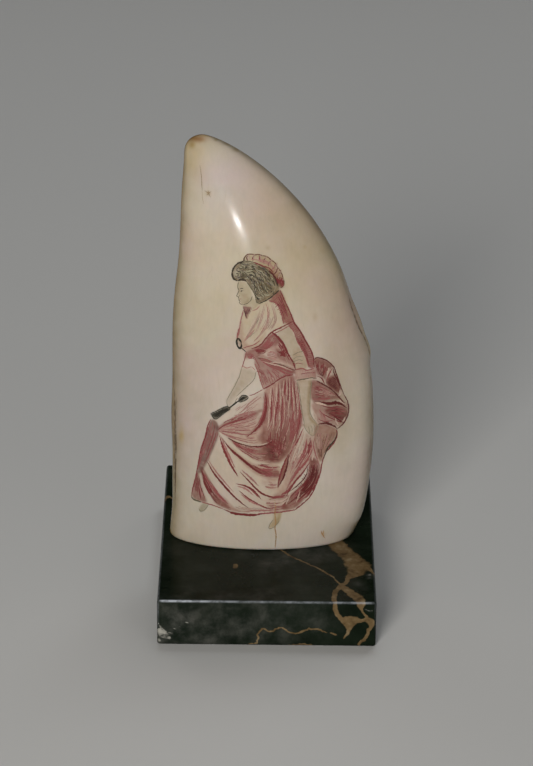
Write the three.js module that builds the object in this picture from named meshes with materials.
// A scrimshaw whale tooth standing upright on a polished block of black marble.
// Units are millimetres, +Z is up, and the origin is the middle of the block's underside.
// The engraved face looks along -Y. The blunt tip leans towards -X, over the tooth's straight
// inner edge, and the other edge is one long outward curve.
import * as THREE from 'three';

// Marble block: a plain slab with its edges eased.
const BLOCK_WIDTH = 76;
const BLOCK_DEPTH = 108;
const BLOCK_HEIGHT = 17.5;
const BLOCK_CHAMFER = 1;
const BLOCK_CORNER_RADIUS = 1.5;

// Tooth. Distances down the tooth are measured from its tip.
const TOOTH_HEIGHT = 150.5;
const TOOTH_Y = -2; // the foot stands a little in front of the block's middle
const TIP_X = -23.4;

// Outer edge: how far it stands out from the tip along +X.
const OUTER_REACH = 60.7;
const OUTER_WIDEST = 112; // distance down the tooth where the reach is greatest
const OUTER_ROUNDNESS = [2.3, 0.735]; // inner and outer powers of the superellipse
const FOOT_TUCK = 7.05; // how far the edge comes back in at the foot
const FOOT_TUCK_SHARE = 0.65; // part of the tuck that is gradual, the rest is a late turn
const FOOT_TUCK_POWERS = [1.6, 8];

// Inner edge: how far it stands out from the tip along -X.
const NOSE_REACH = 6.3;
const NOSE_DROP = 7; // distance down the tooth over which the blunt tip turns
const INNER_LEAN = 4.4;
const INNER_LEAN_SPAN = [8, 75];
const FOOT_FLARE = 1.1;
const FOOT_FLARE_HEIGHT = 15;

// Thickness from front to back, as half depths either side of the leaning middle plane.
const FRONT_HALF_DEPTH = 16;
const BACK_HALF_DEPTH = 17.5;
const FRONT_HALF_DEPTH_AT_FOOT = 13.9;
const BACK_HALF_DEPTH_AT_FOOT = 15;
const THICKEST = 107; // distance down the tooth where it is thickest
const THICKNESS_POWER = 0.5;
const TIP_SET_BACK = 4; // the tip leans this far back from the foot

// The foot's edge is worn to a small radius.
const FOOT_RADIUS = 1.2;
const FOOT_RADIUS_STEPS = 3;

// Facets
const RINGS = 36;
const RING_CROWDING = 1.7; // above 1, the rings crowd together towards the tip
const RING_SEGMENTS = 48;

const { clamp, smoothstep } = THREE.MathUtils;

// Reach of the curved outer edge from the tip's X, at a distance down the tooth.
function outerReach(down) {
  const [inner, outer] = OUTER_ROUNDNESS;
  const above = clamp(1 - down / OUTER_WIDEST, 0, 1);
  const bulge = OUTER_REACH * Math.pow(1 - Math.pow(above, inner), outer);
  const below = clamp((down - OUTER_WIDEST) / (TOOTH_HEIGHT - OUTER_WIDEST), 0, 1);
  const [gradual, late] = FOOT_TUCK_POWERS;
  const tuck = FOOT_TUCK_SHARE * Math.pow(below, gradual) + (1 - FOOT_TUCK_SHARE) * Math.pow(below, late);
  return bulge - FOOT_TUCK * tuck;
}

// Reach of the straight inner edge from the tip's X: a blunt nose, a slight lean and a flared foot.
function innerReach(down) {
  const noseLeft = clamp(1 - down / NOSE_DROP, 0, 1);
  const nose = NOSE_REACH * Math.sqrt(1 - Math.pow(noseLeft, 3));
  const lean = INNER_LEAN * smoothstep(down, ...INNER_LEAN_SPAN);
  const flareStart = TOOTH_HEIGHT - FOOT_FLARE_HEIGHT;
  const flare = FOOT_FLARE * Math.pow(clamp((down - flareStart) / FOOT_FLARE_HEIGHT, 0, 1), 1.5);
  return nose + lean + flare;
}

// Half of the thickness on one side: it swells from the tip and draws in again to the foot.
function halfDepth(down, full, atFoot) {
  const above = clamp(1 - down / THICKEST, 0, 1);
  const below = clamp((down - THICKEST) / (TOOTH_HEIGHT - THICKEST), 0, 1);
  return full * Math.pow(1 - above * above, THICKNESS_POWER) - (full - atFoot) * below * below;
}

// One cross-section of the tooth: two half ellipses that share their width, pulled in by an inset.
function toothRing(down, inset) {
  const right = TIP_X + outerReach(down);
  const left = TIP_X - innerReach(down);
  const middleY = TIP_SET_BACK * Math.pow(1 - down / TOOTH_HEIGHT, 2);
  const front = halfDepth(down, FRONT_HALF_DEPTH, FRONT_HALF_DEPTH_AT_FOOT) - inset;
  const back = halfDepth(down, BACK_HALF_DEPTH, BACK_HALF_DEPTH_AT_FOOT) - inset;
  const points = [];
  for (let i = 0; i < RING_SEGMENTS; i++) {
    const angle = (2 * Math.PI * i) / RING_SEGMENTS;
    const x = (left + right) / 2 + ((right - left) / 2 - inset) * Math.cos(angle);
    const y = middleY + (Math.sin(angle) < 0 ? front : back) * Math.sin(angle);
    points.push(new THREE.Vector3(x, y, TOOTH_HEIGHT - down));
  }
  return points;
}

// All cross-sections from just below the tip to the foot, whose edge is rounded.
function toothRings() {
  const roundingStart = TOOTH_HEIGHT - FOOT_RADIUS;
  const rings = [];
  for (let i = 1; i <= RINGS; i++) {
    rings.push(toothRing(roundingStart * Math.pow(i / RINGS, RING_CROWDING), 0));
  }
  for (let i = 1; i <= FOOT_RADIUS_STEPS; i++) {
    const turn = ((Math.PI / 2) * i) / FOOT_RADIUS_STEPS;
    const down = i === FOOT_RADIUS_STEPS ? TOOTH_HEIGHT : roundingStart + FOOT_RADIUS * Math.sin(turn);
    rings.push(toothRing(down, FOOT_RADIUS * (1 - Math.cos(turn))));
  }
  return rings;
}

// A closed skin from a top point through the rings to a flat bottom around a middle point.
function closedLoft(top, rings, bottom) {
  const count = rings[0].length;
  const points = [top, ...rings.flat(), bottom];
  const last = points.length - 1;
  const at = (ring, i) => 1 + ring * count + (i % count);
  const triangles = [];
  for (let i = 0; i < count; i++) {
    triangles.push(0, at(0, i), at(0, i + 1));
    triangles.push(last, at(rings.length - 1, i + 1), at(rings.length - 1, i));
    for (let ring = 0; ring < rings.length - 1; ring++) {
      triangles.push(at(ring, i), at(ring + 1, i), at(ring + 1, i + 1));
      triangles.push(at(ring, i), at(ring + 1, i + 1), at(ring, i + 1));
    }
  }
  const geometry = new THREE.BufferGeometry().setFromPoints(points);
  geometry.setIndex(triangles);
  geometry.computeVertexNormals();
  return geometry;
}

function makeTooth() {
  const top = new THREE.Vector3(TIP_X, TIP_SET_BACK, TOOTH_HEIGHT);
  const bottom = new THREE.Vector3(0, 0, 0);
  const ivory = new THREE.MeshStandardMaterial({ color: 0xd9c9ae, roughness: 0.3, metalness: 0 });
  const tooth = new THREE.Mesh(closedLoft(top, toothRings(), bottom), ivory);
  tooth.name = 'whale_tooth';
  tooth.position.set(0, TOOTH_Y, BLOCK_HEIGHT);
  return tooth;
}

// The block's outline seen from above, drawn inside the chamfer that the bevel adds back.
function blockOutline() {
  const x = BLOCK_WIDTH / 2 - BLOCK_CHAMFER;
  const y = BLOCK_DEPTH / 2 - BLOCK_CHAMFER;
  const r = BLOCK_CORNER_RADIUS;
  const outline = new THREE.Shape();
  outline.absarc(x - r, y - r, r, 0, Math.PI / 2);
  outline.absarc(r - x, y - r, r, Math.PI / 2, Math.PI);
  outline.absarc(r - x, r - y, r, Math.PI, 1.5 * Math.PI);
  outline.absarc(x - r, r - y, r, 1.5 * Math.PI, 2 * Math.PI);
  return outline;
}

function makeBlock() {
  const geometry = new THREE.ExtrudeGeometry(blockOutline(), {
    depth: BLOCK_HEIGHT - 2 * BLOCK_CHAMFER,
    curveSegments: 4,
    bevelThickness: BLOCK_CHAMFER,
    bevelSize: BLOCK_CHAMFER,
    bevelSegments: 1,
  });
  const marble = new THREE.MeshStandardMaterial({ color: 0x15170f, roughness: 0.12, metalness: 0 });
  const block = new THREE.Mesh(geometry, marble);
  block.name = 'marble_block';
  block.position.z = BLOCK_CHAMFER;
  return block;
}

const group = new THREE.Group();
group.add(makeBlock(), makeTooth());

export default group;
